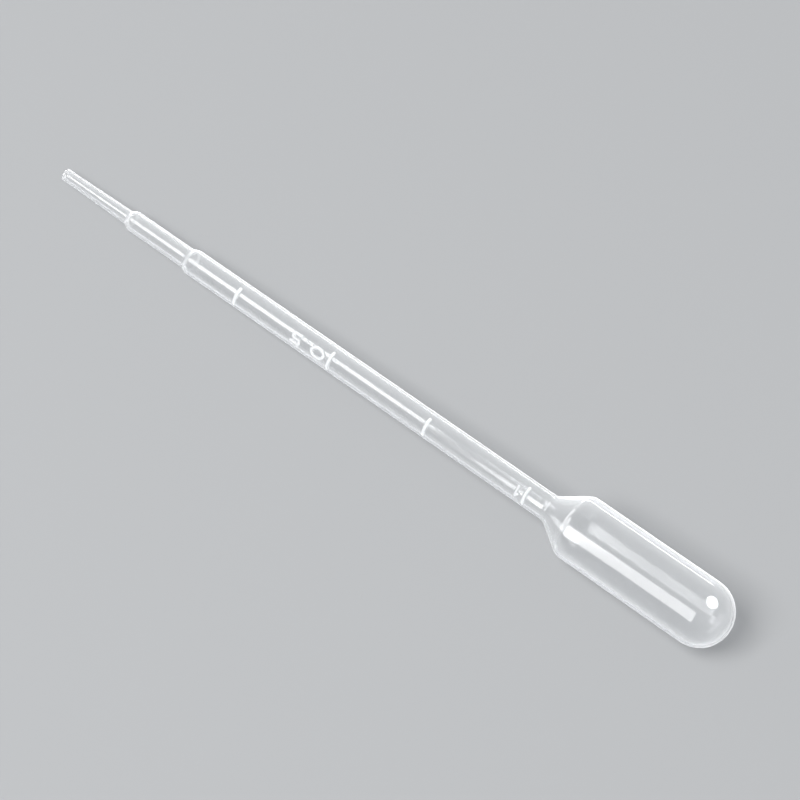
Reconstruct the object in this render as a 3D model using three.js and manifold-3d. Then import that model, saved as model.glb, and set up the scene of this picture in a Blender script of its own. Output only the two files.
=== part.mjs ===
// A graduated dropper pipette, blow-moulded from low-density polyethylene in one piece:
// a soft squeeze bulb with a round end, a long straight stem with four raised graduations,
// and a delivery end that narrows in two steps. It lies as it comes to rest on a table.
// Millimetres, +Z up. The axis runs along X, from the open tip at -X to the bulb at +X.

import * as THREE from "three";
import { mergeVertices } from "three/addons/utils/BufferGeometryUtils.js";
import Module from "manifold-3d";

const wasm = await Module();
wasm.setup();

// Lengths along the axis, from the tip to the end of the bulb.
const tipLength = 15.5;
const middleLength = 14.1;
const stemLength = 80.2;
const shoulderLength = 5.2;
const bulbLength = 30.6;

// Outside diameters. The stem's follows from its bore and its wall.
const bulbDiameter = 11.5;
const middleDiameter = 3.75;
const tipRootDiameter = 2.6;
const tipEndDiameter = 2.2;

// Walls. The plastic is thinnest in the bulb, where it was blown the widest.
const bulbWall = 0.4;
const stemWall = 0.41;
const middleWall = 0.52;
const tipWall = 0.46;

// The two steps of the delivery end are short cones.
const upperStepLength = 1.1;
const lowerStepLength = 0.9;

// How far each rounding reaches along the two lines that meet in it.
const shoulderRounding = 0.7;
const neckRounding = 0.9;
const stepRounding = 0.35;
const stepRootRounding = 0.15;

// The graduations: raised bars across one side of the stem, evenly spaced between two margins.
const capacity = 1000;
const graduationCount = 4;
const lowestAboveStep = 12.7;
const highestBelowNeck = 4.15;
const barRadius = 0.24;
const barHeight = 0.18;
const barSpread = THREE.MathUtils.degToRad(88);

// The numerals beside the half and the full measure, read from the bulb towards the tip.
const numeralHeight = 1.95;
const numeralRelief = 0.16;
const numeralStroke = 0.36;
const numeralStart = 1.05;
const characterGap = 0.85;
const zeroWidth = 3.0;
const fiveWidth = 1.9;
const oneWidth = 0.8;
const pointDiameter = 0.5;

// The fine ridge where the two halves of the mould met, a quarter turn from the graduations.
const partingHeight = 0.06;
const partingWidth = 0.16;

// How far the pipette has rolled: its graduations face up and to the front.
const roll = THREE.MathUtils.degToRad(40);

// How finely round shapes are drawn, and how far a cutting solid runs past what it cuts.
const sides = 24;
const curveSteps = 4;
const cutPast = 1;

// Places along the axis, measured from the open tip.
const middleStart = tipLength;
const stemStart = middleStart + middleLength;
const neckPlace = stemStart + stemLength;
const shoulderPlace = neckPlace + shoulderLength;
const bulbRadius = bulbDiameter / 2;
const domeCentre = shoulderPlace + bulbLength - bulbRadius;

// The bore holds an equal share of the capacity between any two graduations.
const graduationPitch = (stemLength - lowestAboveStep - highestBelowNeck) / (graduationCount - 1);
const boreArea = capacity / graduationCount / graduationPitch;
const boreRadius = Math.sqrt(boreArea / Math.PI);
const stemRadius = boreRadius + stemWall;

// The outside as corners, from the tip to where the round end begins. Each has its rounding and
// the wall of the stretch that follows it.
const outside = [
  { x: 0, r: tipEndDiameter / 2, rounding: 0, wall: tipWall },
  { x: middleStart, r: tipRootDiameter / 2, rounding: stepRootRounding, wall: middleWall },
  { x: middleStart + lowerStepLength, r: middleDiameter / 2, rounding: stepRounding, wall: middleWall },
  { x: stemStart, r: middleDiameter / 2, rounding: stepRootRounding, wall: stemWall },
  { x: stemStart + upperStepLength, r: stemRadius, rounding: stepRounding, wall: stemWall },
  { x: neckPlace, r: stemRadius, rounding: neckRounding, wall: bulbWall },
  { x: shoulderPlace, r: bulbRadius, rounding: shoulderRounding, wall: bulbWall },
  { x: domeCentre, r: bulbRadius, rounding: 0, wall: bulbWall },
];

// The inner face of the wall between two outside corners, as a point and a slope.
function innerFace(from, to) {
  const along = new THREE.Vector2(to.x - from.x, to.r - from.r).normalize();
  const x = from.x + along.y * from.wall;
  const r = from.r - along.x * from.wall;
  return { x, r, slope: along.y / along.x };
}

// The inside as corners: each is where two neighbouring inner faces meet. The first lies past the
// tip, so that the bore is open there.
function insideCorners() {
  const faces = outside.slice(1).map((to, index) => innerFace(outside[index], to));
  const [first] = faces;
  const mouth = { x: -cutPast, r: first.r - first.slope * (first.x + cutPast), rounding: 0 };
  const meetings = faces.slice(1).map((face, index) => {
    const previous = faces[index];
    const rise = face.r - previous.r + previous.slope * previous.x - face.slope * face.x;
    const x = rise / (previous.slope - face.slope);
    const r = previous.r + previous.slope * (x - previous.x);
    return { x, r, rounding: outside[index + 1].rounding };
  });
  const domeStart = { x: domeCentre, r: bulbRadius - bulbWall, rounding: 0 };
  return [mouth, ...meetings, domeStart];
}

// A point that lies a given distance from one corner towards another, as radius and height.
function onTheWay(corner, other, distance) {
  const from = new THREE.Vector2(corner.r, corner.x);
  const to = new THREE.Vector2(other.r, other.x);
  return from.lerp(to, distance / from.distanceTo(to));
}

// A solid turned about the axis from rounded corners, flat at the first and round past the last.
function turned(corners) {
  const path = new THREE.Path();
  path.moveTo(0, corners[0].x);
  path.lineTo(corners[0].r, corners[0].x);
  for (let index = 1; index < corners.length - 1; index += 1) {
    const corner = corners[index];
    const arrival = onTheWay(corner, corners[index - 1], corner.rounding);
    const departure = onTheWay(corner, corners[index + 1], corner.rounding);
    path.lineTo(arrival.x, arrival.y);
    path.quadraticCurveTo(corner.r, corner.x, departure.x, departure.y);
  }
  const last = corners[corners.length - 1];
  path.lineTo(last.r, last.x);
  path.absarc(0, last.x, last.r, 0, Math.PI / 2, false);
  return lathe(path);
}

// Turns an outline about the X axis. A flat of the polygon faces down, so that it can rest on it.
function lathe(path) {
  const geometry = new THREE.LatheGeometry(path.getPoints(curveSteps), sides, Math.PI / sides);
  geometry.rotateZ(-Math.PI / 2);
  return solid(geometry);
}

// A closed solid from a geometry, with shared corners merged and needle triangles left out.
function solid(geometry) {
  geometry.deleteAttribute("normal");
  geometry.deleteAttribute("uv");
  const merged = mergeVertices(geometry);
  const triangles = [];
  for (let start = 0; start < merged.index.count; start += 3) {
    const [a, b, c] = merged.index.array.slice(start, start + 3);
    if (a !== b && b !== c && c !== a) {
      triangles.push(a, b, c);
    }
  }
  const vertProperties = new Float32Array(merged.attributes.position.array);
  const triVerts = new Uint32Array(triangles);
  return new wasm.Manifold(new wasm.Mesh({ numProp: 3, vertProperties, triVerts }));
}

// A bead of round section all the way round the stem, of which a graduation keeps one part.
function bead(place) {
  const path = new THREE.Path();
  path.absarc(stemRadius + barHeight - barRadius, place, barRadius, 0, 2 * Math.PI, false);
  return lathe(path);
}

// The sector in which the graduations lie, wide enough to hold them.
function graduationSector() {
  const far = 2 * stemRadius;
  const halfWidth = far * Math.tan(barSpread / 2);
  const shape = new THREE.Shape();
  shape.moveTo(0, 0);
  shape.lineTo(halfWidth, far);
  shape.lineTo(-halfWidth, far);
  shape.closePath();
  const geometry = new THREE.ExtrudeGeometry(shape, { depth: stemLength, bevelEnabled: false });
  const across = new THREE.Vector3(0, 1, 0);
  const up = new THREE.Vector3(0, 0, 1);
  const alongAxis = new THREE.Vector3(1, 0, 0);
  geometry.applyMatrix4(new THREE.Matrix4().makeBasis(across, up, alongAxis));
  geometry.translate(stemStart, 0, 0);
  geometry.rotateX(roll);
  return solid(geometry);
}

// The layer around the stem that the raised numerals fill.
function reliefLayer() {
  const inner = stemRadius - stemWall / 2;
  const outer = stemRadius + numeralRelief;
  const path = new THREE.Path();
  path.moveTo(inner, stemStart);
  path.lineTo(outer, stemStart);
  path.lineTo(outer, neckPlace);
  path.lineTo(inner, neckPlace);
  path.closePath();
  return lathe(path);
}

// The characters, each drawn from its lower left corner.
function zeroShape() {
  const shape = new THREE.Shape();
  const hole = new THREE.Path();
  const x = zeroWidth / 2;
  const y = numeralHeight / 2;
  shape.absellipse(x, y, x, y, 0, 2 * Math.PI, false);
  hole.absellipse(x, y, x - numeralStroke, y - numeralStroke, 0, 2 * Math.PI, true);
  shape.holes.push(hole);
  return shape;
}

function pointShape() {
  const radius = pointDiameter / 2;
  const shape = new THREE.Shape();
  shape.absarc(radius, radius, radius, 0, 2 * Math.PI, false);
  return shape;
}

function fiveShape() {
  const bellyRadius = 0.31 * numeralHeight;
  const bellyTop = 2 * bellyRadius;
  const bellyX = fiveWidth - bellyRadius;
  const shape = new THREE.Shape();
  shape.moveTo(0, bellyTop - numeralStroke);
  shape.lineTo(bellyX, bellyTop - numeralStroke);
  shape.absarc(bellyX, bellyRadius, bellyRadius - numeralStroke, Math.PI / 2, -Math.PI / 2, true);
  shape.lineTo(0, numeralStroke);
  shape.lineTo(0, 0);
  shape.lineTo(bellyX, 0);
  shape.absarc(bellyX, bellyRadius, bellyRadius, -Math.PI / 2, Math.PI / 2, false);
  shape.lineTo(numeralStroke, bellyTop);
  shape.lineTo(numeralStroke, numeralHeight - numeralStroke);
  shape.lineTo(fiveWidth, numeralHeight - numeralStroke);
  shape.lineTo(fiveWidth, numeralHeight);
  shape.lineTo(0, numeralHeight);
  shape.closePath();
  return shape;
}

function oneShape() {
  const stemLeft = oneWidth - numeralStroke;
  const shape = new THREE.Shape();
  shape.moveTo(stemLeft, 0);
  shape.lineTo(oneWidth, 0);
  shape.lineTo(oneWidth, numeralHeight);
  shape.lineTo(stemLeft, numeralHeight);
  shape.lineTo(0, numeralHeight - stemLeft);
  shape.lineTo(0, numeralHeight - stemLeft - numeralStroke);
  shape.lineTo(stemLeft, numeralHeight - numeralStroke);
  shape.closePath();
  return shape;
}

// One character standing out of the stem, its reading edge at a given distance from its bar.
function character(shape, barPlace, distance) {
  const geometry = new THREE.ExtrudeGeometry(shape, { depth: 2 * stemRadius, bevelEnabled: false });
  geometry.translate(distance, -numeralHeight / 2, 0);
  geometry.rotateZ(Math.PI);
  geometry.translate(barPlace, 0, 0);
  geometry.rotateX(roll);
  return solid(geometry);
}

function graduationPlace(number) {
  return stemStart + lowestAboveStep + (number - 1) * graduationPitch;
}

// Everything that stands out of the stem: the bars, the half measure's 0.5 and the last one's 1.
function reliefs() {
  const numbers = Array.from({ length: graduationCount }, (_, index) => index + 1);
  const beads = numbers.map((number) => bead(graduationPlace(number)));
  const bars = wasm.Manifold.union(beads).intersect(graduationSector());
  const half = graduationPlace(graduationCount / 2);
  const full = graduationPlace(graduationCount);
  const pointStart = numeralStart + zeroWidth + characterGap;
  const fiveStart = pointStart + pointDiameter + characterGap;
  const characters = wasm.Manifold.union([
    character(zeroShape(), half, numeralStart),
    character(pointShape(), half, pointStart),
    character(fiveShape(), half, fiveStart),
    character(oneShape(), full, numeralStart),
  ]);
  return bars.add(characters.intersect(reliefLayer()));
}

// The parting line: a thin plate through the axis, trimmed to just outside the outline.
function partingLine() {
  const grown = outside.map((corner) => ({ ...corner, r: corner.r + partingHeight }));
  const reach = 2 * (domeCentre + bulbDiameter);
  const plate = new THREE.BoxGeometry(reach, 2 * bulbDiameter, partingWidth);
  plate.rotateX(roll);
  return turned(grown).intersect(solid(plate));
}

// The slope at which it lies: on its shoulder and on the first ring nearer the tip that touches.
function restSlope() {
  const rings = outside.map((corner) => new THREE.Vector2(corner.x + corner.rounding, corner.r));
  const shoulder = rings[rings.length - 2];
  const slopes = rings.slice(0, -2).map((ring) => (shoulder.y - ring.y) / (shoulder.x - ring.x));
  return Math.min(...slopes);
}

const body = turned(outside).add(partingLine()).add(reliefs()).subtract(turned(insideCorners()));
const mesh = body.getMesh();
const geometry = new THREE.BufferGeometry();
geometry.setAttribute("position", new THREE.BufferAttribute(mesh.vertProperties, 3));
geometry.setIndex(new THREE.BufferAttribute(mesh.triVerts, 1));
geometry.computeVertexNormals();

const polyethylene = new THREE.MeshStandardMaterial({
  color: 0xe8ecee,
  roughness: 0.3,
  metalness: 0,
  transparent: true,
  opacity: 0.4,
});

const pipette = new THREE.Mesh(geometry, polyethylene);
pipette.name = "pipette";
pipette.rotation.y = -Math.atan(restSlope() * Math.cos(Math.PI / sides));

// The whole is set down with the middle of its length over the origin and its lowest edge at zero.
const part = new THREE.Group();
part.add(pipette);
const extent = new THREE.Box3().setFromObject(part, true);
const centre = extent.getCenter(new THREE.Vector3());
part.position.set(-centre.x, -centre.y, -extent.min.z);

export default part;
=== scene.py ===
"""A plastic dropper pipette lying on a pale table, in soft studio light.

Metres, +Z up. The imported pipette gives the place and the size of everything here.
"""
import math

import bpy
from mathutils import Matrix, Vector
from mathutils.geometry import intersect_point_line


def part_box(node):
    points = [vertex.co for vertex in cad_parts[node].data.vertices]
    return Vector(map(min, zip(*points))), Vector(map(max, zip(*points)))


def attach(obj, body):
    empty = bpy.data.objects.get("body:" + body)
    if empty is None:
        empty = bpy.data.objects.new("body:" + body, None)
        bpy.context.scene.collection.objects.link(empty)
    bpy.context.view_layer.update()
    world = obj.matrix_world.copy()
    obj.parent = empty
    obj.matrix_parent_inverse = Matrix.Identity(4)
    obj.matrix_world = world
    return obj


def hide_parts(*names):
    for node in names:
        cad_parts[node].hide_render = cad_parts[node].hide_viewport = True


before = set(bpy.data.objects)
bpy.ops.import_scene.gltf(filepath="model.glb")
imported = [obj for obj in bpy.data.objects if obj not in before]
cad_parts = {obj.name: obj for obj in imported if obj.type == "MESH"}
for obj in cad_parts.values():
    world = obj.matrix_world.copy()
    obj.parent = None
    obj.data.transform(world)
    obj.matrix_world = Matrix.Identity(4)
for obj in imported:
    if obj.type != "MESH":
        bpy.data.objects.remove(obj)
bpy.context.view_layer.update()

MM = 0.001

# ---------------------------------------------------------------------------
# Wall of the pipette
# One moulding of natural low-density polyethylene: a soft tube is closed in a
# mould and blown out to its shape. The bulb's wall is the thinnest, and the
# tip is simply cut off square.
# ---------------------------------------------------------------------------
TIP_LENGTH = 15.5 * MM
LOWER_STEP_LENGTH = 0.9 * MM
MIDDLE_LENGTH = 14.1 * MM
UPPER_STEP_LENGTH = 1.1 * MM
STEM_LENGTH = 80.2 * MM
SHOULDER_LENGTH = 5.2 * MM
BULB_LENGTH = 30.6 * MM

TIP_RADIUS = 1.1 * MM
TIP_ROOT_RADIUS = 1.3 * MM
MIDDLE_RADIUS = 1.875 * MM
STEM_RADIUS = 2.35 * MM

BULB_WALL = 0.40 * MM
STEM_WALL = 0.41 * MM
MIDDLE_WALL = 0.52 * MM
TIP_WALL = 0.46 * MM

CUT_ROUNDING = 0.06 * MM
FOOT_ROUNDING = 0.15 * MM
STEP_ROUNDING = 0.35 * MM
NECK_ROUNDING = 0.6 * MM
SHOULDER_ROUNDING = 0.7 * MM

# The graduations are evenly spaced along the stem, and two of them have numerals.
MARK_COUNT = 4
HALF_MARK = 1
WHOLE_MARK = 3
LOWEST_MARK_ABOVE_STEP = 12.7 * MM
HIGHEST_MARK_BELOW_NECK = 4.15 * MM

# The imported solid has 24 flat sides and is as wide as its flats, so every radius is taken to
# them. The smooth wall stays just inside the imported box.
PACKED_SIDES = 24
BOX_CLEARANCE = 0.01 * MM
FLAT = math.cos(math.pi / PACKED_SIDES)

# The mesh: sides round the axis, steps along each rounding, the distance between rings, and how
# far from a rounding a guard ring keeps the wall beside it straight.
AROUND = 128
CUT_STEPS = 3
ROUNDING_STEPS = 6
DOME_STEPS = 24
RING_SPACING = 1.5 * MM
FINE_SPACING = 0.1 * MM
GUARD = 0.05 * MM
ROUND_OFF = 0.01
SAME_PLACE = 1e-7

low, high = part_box("pipette")
bulb_radius = (high.y - low.y) / 2 - BOX_CLEARANCE
tip_radius = TIP_RADIUS * FLAT
tip_root_radius = TIP_ROOT_RADIUS * FLAT
middle_radius = MIDDLE_RADIUS * FLAT
stem_radius = STEM_RADIUS * FLAT

lower_step_end = TIP_LENGTH + LOWER_STEP_LENGTH
stem_start = TIP_LENGTH + MIDDLE_LENGTH
upper_step_end = stem_start + UPPER_STEP_LENGTH
neck = stem_start + STEM_LENGTH
shoulder = neck + SHOULDER_LENGTH
dome_centre = shoulder + BULB_LENGTH - bulb_radius / FLAT

# Corners of the outside: place along the axis, radius, rounding, and the wall that follows.
OUTSIDE = [
    (0.0, tip_radius, CUT_ROUNDING, TIP_WALL),
    (TIP_LENGTH, tip_root_radius, FOOT_ROUNDING, MIDDLE_WALL),
    (lower_step_end, middle_radius, STEP_ROUNDING, MIDDLE_WALL),
    (stem_start, middle_radius, FOOT_ROUNDING, STEM_WALL),
    (upper_step_end, stem_radius, STEP_ROUNDING, STEM_WALL),
    (neck, stem_radius, NECK_ROUNDING, BULB_WALL),
    (shoulder, bulb_radius, SHOULDER_ROUNDING, BULB_WALL),
    (dome_centre, bulb_radius, 0.0, BULB_WALL),
]

# The wall has fine rings round each graduation, and under the numerals on its tip side.
BAR_STRETCH = 0.55 * MM
NUMERAL_STRETCH = {HALF_MARK: 8.6 * MM, WHOLE_MARK: 2.4 * MM}
mark_pitch = (STEM_LENGTH - LOWEST_MARK_ABOVE_STEP - HIGHEST_MARK_BELOW_NECK) / (MARK_COUNT - 1)
marks = [stem_start + LOWEST_MARK_ABOVE_STEP + number * mark_pitch for number in range(MARK_COUNT)]
fine_stretches = [(place - NUMERAL_STRETCH.get(number, BAR_STRETCH), place + BAR_STRETCH)
                  for number, place in enumerate(marks)]


def inside_corners():
    """The corners of the bore: where the inner faces of neighbouring stretches of wall meet."""
    faces = []
    for (x0, r0, _, wall), (x1, r1, _, _) in zip(OUTSIDE, OUTSIDE[1:]):
        length = math.hypot(x1 - x0, r1 - r0)
        across, along = (x1 - x0) / length, (r1 - r0) / length
        faces.append((x0 + along * wall, r0 - across * wall, along / across))
    x, r, slope = faces[0]
    corners = [(0.0, r - slope * x, CUT_ROUNDING)]
    for (xa, ra, sa), (xb, rb, sb), corner in zip(faces, faces[1:], OUTSIDE[1:]):
        x = (rb - ra + sa * xa - sb * xb) / (sa - sb)
        corners.append((x, ra + sa * (x - xa), corner[2]))
    corners.append((dome_centre, bulb_radius - BULB_WALL, 0.0))
    return corners


def cut_rounding(edge_radius, side):
    """Rings of the small rounding at the cut end, from the end face to the wall."""
    found = []
    for step in range(CUT_STEPS + 1):
        angle = math.pi / 2 * step / CUT_STEPS
        x = CUT_ROUNDING * (1 - math.cos(angle))
        r = edge_radius + side * CUT_ROUNDING * (math.sin(angle) - 1)
        found.append((Vector((x, r)), RING_SPACING))
    return found


def rings(corners, stretches=()):
    """Rings along the rounded corners and round the end past the last, each with its spacing."""
    found = []
    for number, (x, r, rounding, *_) in enumerate(corners[1:-1], 1):
        corner = Vector((x, r))
        before = Vector(corners[number - 1][:2])
        after = Vector(corners[number + 1][:2])
        back = (before - corner).normalized()
        onward = (after - corner).normalized()
        arrival = corner + back * rounding
        departure = corner + onward * rounding
        for start, end in stretches:
            if before.x < start < x:
                found.append((Vector((start, r)), RING_SPACING))
                found.append((Vector((end, r)), FINE_SPACING))
        found.append((arrival + back * GUARD, RING_SPACING))
        for step in range(ROUNDING_STEPS + 1):
            t = step / ROUNDING_STEPS
            rounded = arrival.lerp(corner, t).lerp(corner.lerp(departure, t), t)
            found.append((rounded, RING_SPACING))
        found.append((departure + onward * GUARD, RING_SPACING))
    x, radius = corners[-1][:2]
    found.append((Vector((x - GUARD, radius)), RING_SPACING))
    for step in range(DOME_STEPS):
        angle = math.pi / 2 * step / DOME_STEPS
        on_dome = Vector((x + radius * math.sin(angle), radius * math.cos(angle)))
        found.append((on_dome, RING_SPACING))
    return found


def filled_in(points):
    """The same outline with more points along its straights, as close together as each asks."""
    filled = [points[0][0]]
    for there, spacing in points[1:]:
        here = filled[-1]
        parts = max(1, math.ceil((there - here).length / spacing - ROUND_OFF))
        filled += [here.lerp(there, part / parts) for part in range(1, parts + 1)]
    return filled


# The outline runs from the pole of the round end along the outside to the cut end, and back
# along the bore. It is drawn point by point, from a plane merged to its middle, and spun about
# the axis.
bore = inside_corners()
outside_outline = filled_in(cut_rounding(tip_radius, 1) + rings(OUTSIDE, fine_stretches))
bore_outline = filled_in(cut_rounding(bore[0][1], -1) + rings(bore))
outer_pole = Vector((dome_centre + bulb_radius, 0))
inner_pole = Vector((dome_centre + bore[-1][1], 0))
outline = [outer_pole, *reversed(outside_outline), *bore_outline, inner_pole]

bpy.ops.object.select_all(action="DESELECT")
bpy.ops.mesh.primitive_plane_add(size=bulb_radius)
pipette = bpy.context.object
pipette.name = pipette.data.name = "pipette_moulding"
bpy.ops.object.mode_set(mode="EDIT")
bpy.ops.mesh.merge(type="CENTER")
bpy.ops.transform.translate(value=(outer_pole.x, 0, 0))
for here, there in zip(outline, outline[1:]):
    bpy.ops.mesh.extrude_region_move(TRANSFORM_OT_translate={"value": (*(there - here), 0)})
bpy.ops.mesh.select_all(action="SELECT")
bpy.ops.mesh.spin(steps=AROUND, angle=2 * math.pi, center=(0, 0, 0), axis=(1, 0, 0))
bpy.ops.mesh.select_all(action="SELECT")
bpy.ops.mesh.remove_doubles(threshold=SAME_PLACE)
bpy.ops.mesh.normals_make_consistent(inside=False)
bpy.ops.object.mode_set(mode="OBJECT")

# ---------------------------------------------------------------------------
# Graduations and numerals
# Engraved in the mould, so they stand out of the wall as soft ridges: a bar
# across one side for each quarter of a millilitre, 0.5 beside the second and
# 1 beside the last, read from the bulb towards the tip.
# ---------------------------------------------------------------------------
MARK_SIDE = math.radians(62)
BAR_SPREAD = math.radians(36.5)
BAR_HEIGHT = 0.19 * MM
BAR_FOOT = 0.42 * MM

NUMERAL_HEIGHT = 1.95 * MM
NUMERAL_START = 1.05 * MM
CHARACTER_GAP = 0.85 * MM
ZERO_WIDTH = 3.0 * MM
POINT_DIAMETER = 0.6 * MM
FIVE_WIDTH = 1.9 * MM
FIVE_BELLY = 0.31
ONE_WIDTH = 0.8 * MM
STROKE_WIDTH = 0.36 * MM
STROKE_RELIEF = 0.18 * MM
STROKE_FOOT = 0.34 * MM
STROKE_STEPS = 24


def arc(centre, half_width, half_height, start, end):
    """Points on an arc of a stroke, from one angle to another in degrees."""
    points = []
    for step in range(STROKE_STEPS + 1):
        angle = math.radians(start + (end - start) * step / STROKE_STEPS)
        x = centre[0] + half_width * math.cos(angle)
        y = centre[1] + half_height * math.sin(angle)
        points.append(Vector((x, y, 0)))
    return points


def placed(points, mark, distance):
    """Turns a stroke to read towards the tip, at its distance from its bar."""
    return [Vector((mark - distance - point.x, NUMERAL_HEIGHT / 2 - point.y, 0)) for point in points]


# Each stroke is a line along the middle of its ridge, drawn upright from its lower left corner.
edge = STROKE_WIDTH / 2
top = NUMERAL_HEIGHT - edge
zero_middle = (ZERO_WIDTH / 2, NUMERAL_HEIGHT / 2)
zero = arc(zero_middle, ZERO_WIDTH / 2 - edge, NUMERAL_HEIGHT / 2 - edge, 0, 360)
decimal_point = [Vector((POINT_DIAMETER / 2, POINT_DIAMETER / 2, 0))] * 2
belly = FIVE_BELLY * NUMERAL_HEIGHT
five = [Vector((FIVE_WIDTH, top, 0)), Vector((edge, top, 0)), Vector((edge, 2 * belly - edge, 0))]
five += arc((FIVE_WIDTH - belly, belly), belly - edge, belly - edge, 90, -90)
five += [Vector((edge, edge, 0))]
one = [Vector((edge, NUMERAL_HEIGHT - ONE_WIDTH + edge, 0)), Vector((ONE_WIDTH - edge, top, 0)),
       Vector((ONE_WIDTH - edge, edge, 0))]

point_start = NUMERAL_START + ZERO_WIDTH + CHARACTER_GAP
five_start = point_start + POINT_DIAMETER + CHARACTER_GAP
strokes = [
    placed(zero, marks[HALF_MARK], NUMERAL_START),
    placed(decimal_point, marks[HALF_MARK], point_start),
    placed(five, marks[HALF_MARK], five_start),
    placed(one, marks[WHOLE_MARK], NUMERAL_START),
]


def ridge(distance, foot):
    """The height of a soft ridge, as a share of its full height, at a distance from its middle."""
    return (1 - (distance / foot) ** 2) ** 2 if distance < foot else 0.0


def bar_height(place):
    """How far the nearest bar lifts the wall at a place."""
    past_end = max(0.0, abs(math.atan2(place.y, place.z)) - BAR_SPREAD) * stem_radius
    nearest = min(abs(place.x - mark) for mark in marks)
    return BAR_HEIGHT * ridge(math.hypot(nearest, past_end), BAR_FOOT)


def stroke_distance(flat, stroke):
    """The distance from a point to a stroke, both seen from above the numerals."""
    nearest = math.inf
    for start, end in zip(stroke, stroke[1:]):
        share = intersect_point_line(flat, start, end)[1] if start != end else 0.0
        closest = start.lerp(end, min(max(share, 0.0), 1.0))
        nearest = min(nearest, (flat - closest).length)
    return nearest


def numeral_height(place):
    """How far the nearest numeral lifts the wall at a place."""
    flat = Vector((place.x, place.y, 0))
    nearest = STROKE_FOOT
    for stroke in strokes:
        first = min(point.x for point in stroke) - STROKE_FOOT
        last = max(point.x for point in stroke) + STROKE_FOOT
        if first < place.x < last:
            nearest = min(nearest, stroke_distance(flat, stroke))
    return STROKE_RELIEF * ridge(nearest, STROKE_FOOT)


def on_mark_side(place, normal):
    """True on the side of the outside of the wall that the graduations stand on."""
    outside = math.hypot(place.y, place.z) > stem_radius - STEM_WALL / 2
    in_a_stretch = any(start < place.x < end for start, end in fine_stretches)
    return outside and in_a_stretch and abs(math.atan2(place.y, place.z)) < MARK_SIDE


def select_where(test, kind):
    """Selects in edit mode the vertices or the faces that pass a test of their place and normal."""
    bpy.ops.mesh.select_mode(type=kind)
    bpy.ops.mesh.select_all(action="DESELECT")
    bpy.ops.object.mode_set(mode="OBJECT")
    mesh = bpy.context.object.data
    if kind == "VERT":
        for vertex in mesh.vertices:
            vertex.select = test(vertex.co, vertex.normal)
    else:
        for face in mesh.polygons:
            face.select = test(face.center, face.normal)
    bpy.ops.object.mode_set(mode="EDIT")


bpy.ops.object.mode_set(mode="EDIT")
select_where(on_mark_side, "FACE")
bpy.ops.mesh.subdivide(number_cuts=1, smoothness=0)
bpy.ops.object.mode_set(mode="OBJECT")

tallest = max(BAR_HEIGHT, STROKE_RELIEF)
heights = {vertex.index: max(bar_height(vertex.co), numeral_height(vertex.co)) / tallest
           for vertex in pipette.data.vertices if on_mark_side(vertex.co, vertex.normal)}
relief = pipette.vertex_groups.new(name="relief")
for index, height in heights.items():
    relief.add([index], height, "REPLACE")
raise_marks = pipette.modifiers.new("raise_marks", "DISPLACE")
raise_marks.vertex_group = relief.name
raise_marks.mid_level = 0
raise_marks.strength = tallest
bpy.ops.object.modifier_apply(modifier=raise_marks.name)
bpy.ops.object.vertex_group_remove(all=True)

# ---------------------------------------------------------------------------
# Thicker wall
# The plastic is thicker in the marks, and where it gathered on its way round
# the steps and, less, the shoulder. It looks whiter there, so the material
# reads an attribute that says how thick the wall is at each point.
# ---------------------------------------------------------------------------
MARK_THICKENING = 1.6
STEP_BACK = 0.35 * MM
GATHERED_REACH = 0.5 * MM
GATHERED = [
    (lower_step_end - STEP_BACK, 0.5),
    (upper_step_end - STEP_BACK, 0.5),
    (shoulder, 0.2),
]

thicker = pipette.data.attributes.new("thicker_wall", "FLOAT", "POINT")
for vertex in pipette.data.vertices:
    in_a_mark = min(1.0, MARK_THICKENING * heights.get(vertex.index, 0.0))
    outside = vertex.normal.dot(Vector((0, vertex.co.y, vertex.co.z))) > 0
    gathered = max(share * ridge(abs(vertex.co.x - ring), GATHERED_REACH) for ring, share in GATHERED)
    thicker.data[vertex.index].value = max(in_a_mark, outside * gathered)

# ---------------------------------------------------------------------------
# Parting line
# A fine ridge along both sides, a quarter turn from the graduations, and over
# the round end, where a little plastic ran between the halves of the mould.
# ---------------------------------------------------------------------------
PARTING_HEIGHT = 0.045 * MM


def along_parting(place, normal):
    """True on the outside of the wall where the mould's halves met."""
    from_axis = place - Vector((min(place.x, dome_centre), 0, 0))
    return abs(place.z) < SAME_PLACE and place.x > 2 * CUT_ROUNDING and normal.dot(from_axis) > 0


bpy.ops.object.mode_set(mode="EDIT")
select_where(along_parting, "VERT")
bpy.ops.transform.shrink_fatten(value=PARTING_HEIGHT)
bpy.ops.object.mode_set(mode="OBJECT")
bpy.ops.object.shade_smooth()

# ---------------------------------------------------------------------------
# How it lies
# A pipette stands only in a rack. Put down, it rests on the ring of its
# shoulder and the ring of its lower step, with the graduations rolled to the
# front and the tip just clear of the table.
# ---------------------------------------------------------------------------
ROLL = math.radians(40)

# It can touch the table with the ring at the end of each corner's rounding.
touching = [Vector((x + rounding, radius)) for x, radius, rounding, _ in OUTSIDE[:-1]]
widest = touching.pop()
rest_slope = min((widest.y - ring.y) / (widest.x - ring.x) for ring in touching)

pipette.rotation_euler = (ROLL, -math.atan(rest_slope), 0)
bpy.ops.object.transform_apply(location=False, rotation=True, scale=False)
corners_x = [corner[0] for corner in pipette.bound_box]
corners_z = [corner[2] for corner in pipette.bound_box]
pipette.location = (-(min(corners_x) + max(corners_x)) / 2, 0, -min(corners_z))
bpy.ops.object.transform_apply(location=True, rotation=False, scale=False)

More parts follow.
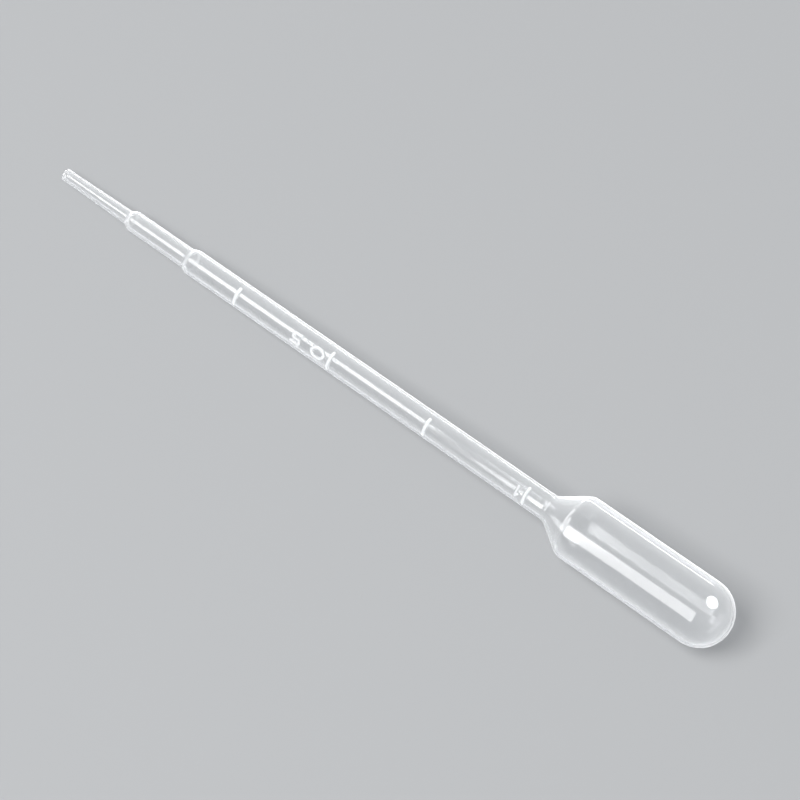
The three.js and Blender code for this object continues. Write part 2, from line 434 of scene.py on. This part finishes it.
# ---------------------------------------------------------------------------
# Natural polyethylene
# Uncoloured and translucent: clear enough to see the table through two walls,
# with a faint milky haze and a smooth, slightly waxy gloss.
# ---------------------------------------------------------------------------
CLEAR = (0.96, 0.965, 0.97, 1)
MILKY = (0.92, 0.935, 0.95, 1)
CLOUDY = (0.96, 0.97, 0.98, 1)
LIGHT_SHADE = (0.95, 0.955, 0.96, 1)
DEEP_SHADE = (0.5, 0.51, 0.52, 1)
GLOSS_RANGE = (0.06, 0.11)
UNEVEN_DEPTH = 0.05 * MM
DIE_LINE_DEPTH = 0.01 * MM
DIE_LINE_STRETCH = 0.02
HAZE_THROUGH = 0.18
MILKY_FACING = 0.06
MILKY_EDGE_ON = 1.0
EDGE_SHARPNESS = 3.5
THICK_WHITENING = 0.8

polyethylene = bpy.data.materials.new("natural_polyethylene")
polyethylene.use_nodes = True
nodes = polyethylene.node_tree.nodes
link = polyethylene.node_tree.links.new
nodes.clear()

# The surface is slightly uneven, and its gloss varies with it.
place = nodes.new("ShaderNodeTexCoord")
flow = nodes.new("ShaderNodeTexNoise")
flow.inputs["Scale"].default_value = 260.0
flow.inputs["Detail"].default_value = 2.0
link(place.outputs["Object"], flow.inputs["Vector"])
unevenness = nodes.new("ShaderNodeBump")
unevenness.inputs["Strength"].default_value = 0.12
unevenness.inputs["Distance"].default_value = UNEVEN_DEPTH
link(flow.outputs["Fac"], unevenness.inputs["Height"])
gloss = nodes.new("ShaderNodeMapRange")
gloss.inputs["To Min"].default_value = GLOSS_RANGE[0]
gloss.inputs["To Max"].default_value = GLOSS_RANGE[1]
link(flow.outputs["Fac"], gloss.inputs["Value"])

# Faint lines along its length are left by the die that the soft tube came out of.
along = nodes.new("ShaderNodeMapping")
along.inputs["Rotation"].default_value = (0, math.atan(rest_slope), 0)
along.inputs["Scale"].default_value = (DIE_LINE_STRETCH, 1, 1)
link(place.outputs["Object"], along.inputs["Vector"])
drawn = nodes.new("ShaderNodeTexNoise")
drawn.inputs["Scale"].default_value = 1400.0
drawn.inputs["Detail"].default_value = 1.0
link(along.outputs["Vector"], drawn.inputs["Vector"])
die_lines = nodes.new("ShaderNodeBump")
die_lines.inputs["Strength"].default_value = 0.15
die_lines.inputs["Distance"].default_value = DIE_LINE_DEPTH
link(drawn.outputs["Fac"], die_lines.inputs["Height"])
link(unevenness.outputs["Normal"], die_lines.inputs["Normal"])

clear = nodes.new("ShaderNodeBsdfPrincipled")
clear.inputs["Base Color"].default_value = CLEAR
clear.inputs["IOR"].default_value = 1.51
clear.inputs["Transmission Weight"].default_value = 1.0
link(gloss.outputs["Result"], clear.inputs["Roughness"])
link(die_lines.outputs["Normal"], clear.inputs["Normal"])

# The milky share of the wall throws most of its light back, and lets the rest through.
haze_through = nodes.new("ShaderNodeBsdfTranslucent")
haze_through.inputs["Color"].default_value = MILKY
haze_back = nodes.new("ShaderNodeBsdfDiffuse")
haze_back.inputs["Color"].default_value = MILKY
haze = nodes.new("ShaderNodeMixShader")
haze.inputs["Fac"].default_value = HAZE_THROUGH
link(haze_back.outputs["BSDF"], haze.inputs[1])
link(haze_through.outputs["BSDF"], haze.inputs[2])

# That share grows where the wall is seen edge on, and where it is thicker.
edge_on = nodes.new("ShaderNodeLayerWeight")
edge_on.inputs["Blend"].default_value = 0.5
steepness = nodes.new("ShaderNodeMath")
steepness.operation = "POWER"
steepness.inputs[1].default_value = EDGE_SHARPNESS
link(edge_on.outputs["Facing"], steepness.inputs[0])
milkiness = nodes.new("ShaderNodeMapRange")
milkiness.inputs["To Min"].default_value = MILKY_FACING
milkiness.inputs["To Max"].default_value = MILKY_EDGE_ON
link(steepness.outputs["Value"], milkiness.inputs["Value"])
thick = nodes.new("ShaderNodeAttribute")
thick.attribute_name = "thicker_wall"
whiter = nodes.new("ShaderNodeMath")
whiter.operation = "MULTIPLY_ADD"
whiter.use_clamp = True
whiter.inputs[1].default_value = THICK_WHITENING
link(thick.outputs["Fac"], whiter.inputs[0])
link(milkiness.outputs["Result"], whiter.inputs[2])
wall = nodes.new("ShaderNodeMixShader")
link(whiter.outputs["Value"], wall.inputs["Fac"])
link(clear.outputs["BSDF"], wall.inputs[1])
link(haze.outputs["Shader"], wall.inputs[2])

# Lamps shine through it, so its shadow is pale, and deeper where the wall is seen edge on.
shade = nodes.new("ShaderNodeMix")
shade.data_type = "RGBA"
shade.inputs["A"].default_value = LIGHT_SHADE
shade.inputs["B"].default_value = DEEP_SHADE
link(edge_on.outputs["Facing"], shade.inputs["Factor"])
shone_through = nodes.new("ShaderNodeBsdfTransparent")
link(shade.outputs["Result"], shone_through.inputs["Color"])
ray = nodes.new("ShaderNodeLightPath")
surface = nodes.new("ShaderNodeMixShader")
link(ray.outputs["Is Shadow Ray"], surface.inputs["Fac"])
link(wall.outputs["Shader"], surface.inputs[1])
link(shone_through.outputs["BSDF"], surface.inputs[2])

# A weak scattering inside the wall gives the haze its depth.
cloudiness = nodes.new("ShaderNodeVolumeScatter")
cloudiness.inputs["Color"].default_value = CLOUDY
cloudiness.inputs["Density"].default_value = 250.0
result = nodes.new("ShaderNodeOutputMaterial")
link(surface.outputs["Shader"], result.inputs["Surface"])
link(cloudiness.outputs["Volume"], result.inputs["Volume"])

pipette.data.materials.append(polyethylene)
# The table gathers no light from it, so it has no false glow round it.
pipette.visible_diffuse = False
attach(pipette, "root")
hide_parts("pipette")

# ---------------------------------------------------------------------------
# Table
# A wide, plain, pale grey sheet, matt, which isn't part of the pipette. It
# runs far past all that is seen, so no edge of it shows.
# ---------------------------------------------------------------------------
TABLE_WIDTH = 4.0
PALE_GREY = (0.5, 0.51, 0.52, 1)

bpy.ops.object.select_all(action="DESELECT")
bpy.ops.mesh.primitive_plane_add(size=TABLE_WIDTH)
table = bpy.context.object
table.name = table.data.name = "table"
pale = bpy.data.materials.new("pale_sheet")
pale.use_nodes = True
pale_surface = pale.node_tree.nodes["Principled BSDF"]
pale_surface.inputs["Base Color"].default_value = PALE_GREY
pale_surface.inputs["Roughness"].default_value = 0.9
pale_surface.inputs["Specular IOR Level"].default_value = 0.2
table.data.materials.append(pale)

# ---------------------------------------------------------------------------
# Studio light
# One large softbox overhead lights the table and the pipette. Smaller ones
# stand close round the pipette, and each gives only a gloss or only haze.
# ---------------------------------------------------------------------------
WORLD_COLOUR = (0.97, 0.98, 1, 1)
WORLD_STRENGTH = 0.4


def softbox(name, round_angle, lean, distance, along, across, radiance, shape="RECTANGLE"):
    """A lamp of a given brightness and size, its length held along the pipette.

    It stands round the pipette by an angle from straight up towards the front, and leans
    towards the tip by another, both in degrees.
    """
    turn = math.radians(round_angle)
    tilt = math.radians(lean)
    back = Vector((-math.sin(tilt), -math.cos(tilt) * math.sin(turn), math.cos(tilt) * math.cos(turn)))
    lengthwise = (Vector((1, 0, 0)) - back * back.x).normalized()
    facing = Matrix((lengthwise, back.cross(lengthwise), back)).transposed()
    lamp = bpy.data.lights.new(name, "AREA")
    lamp.shape = shape
    lamp.size = along
    lamp.size_y = across
    area = along * across * (math.pi / 4 if shape == "DISK" else 1)
    lamp.energy = radiance * math.pi * area
    holder = bpy.data.objects.new(name, lamp)
    holder.location = back * distance
    holder.rotation_mode = "QUATERNION"
    holder.rotation_quaternion = facing.to_quaternion()
    holder.visible_camera = False
    bpy.context.scene.collection.objects.link(holder)
    return holder


# These three are seen in no gloss: they light the table, the haze and the far rim.
key = softbox("key", 25, 10, distance=2.0, along=1.2, across=1.2, radiance=7.0)
rim = softbox("rim_strip", -85, 24, distance=0.45, along=0.34, across=0.06, radiance=75.0)
end = softbox("end_strip", 0, -85, distance=0.45, along=0.06, across=0.34, radiance=20.0)
for lamp in (key, rim, end):
    lamp.visible_glossy = False
    lamp.visible_transmission = False

# One low strip draws a line of gloss inside the far rim. The low strips light nothing but the
# pipette, because they would leave bright patches on the table.
rim_line = softbox("rim_line", -86.8, 24, distance=0.45, along=0.34, across=0.045, radiance=8.0)
rim_line.visible_diffuse = False
rim_line.visible_transmission = False
pipette_only = bpy.data.collections.new("pipette_only")
pipette_only.objects.link(pipette)
for low_lamp in (rim, end, rim_line):
    low_lamp.light_linking.receiver_collection = pipette_only

# These are seen only in its gloss: the long stripe of the bulb with its bright end by the
# shoulder, the stripe of the stem, the spot on the round end, and the shine of the shoulder.
front = softbox("front_softbox", 47.6, 1.6, distance=0.45, along=0.309, across=0.284, radiance=5.0)
hot_end = softbox("front_lamp", 52, 16.4, distance=0.44, along=0.025, across=0.28, radiance=6.0)
overhead = softbox("overhead_softbox", 23.5, 34.5, distance=0.45, along=0.18, across=0.22, radiance=5.5)
spot = softbox("back_softbox", -33, -30, distance=0.45, along=0.3, across=0.3, radiance=11.46,
               shape="DISK")
tip_side = softbox("tip_side_softbox", 20, 62, distance=0.45, along=0.16, across=0.6, radiance=5.0)
for lamp in (front, hot_end, overhead, spot, tip_side):
    lamp.visible_diffuse = False

world = bpy.data.worlds.new("studio")
world.use_nodes = True
background = world.node_tree.nodes["Background"]
background.inputs["Color"].default_value = WORLD_COLOUR
background.inputs["Strength"].default_value = WORLD_STRENGTH
bpy.context.scene.world = world

# ---------------------------------------------------------------------------
# Camera
# A long lens looks down on the pipette from the front and from beyond the bulb,
# so that it lies across the frame with its bulb at the lower right.
# ---------------------------------------------------------------------------
FOCAL_LENGTH = 135
SENSOR_WIDTH = 36
CAMERA_PLACE = (0.1855, -0.1681, 0.434)
CAMERA_TURN = (29.744, 3.723, 40.554)

lens = bpy.data.cameras.new("camera")
lens.lens = FOCAL_LENGTH
lens.sensor_width = SENSOR_WIDTH
camera = bpy.data.objects.new("camera", lens)
camera.location = CAMERA_PLACE
camera.rotation_euler = [math.radians(angle) for angle in CAMERA_TURN]
bpy.context.scene.collection.objects.link(camera)
bpy.context.scene.camera = camera
bpy.context.scene.view_settings.view_transform = "Standard"
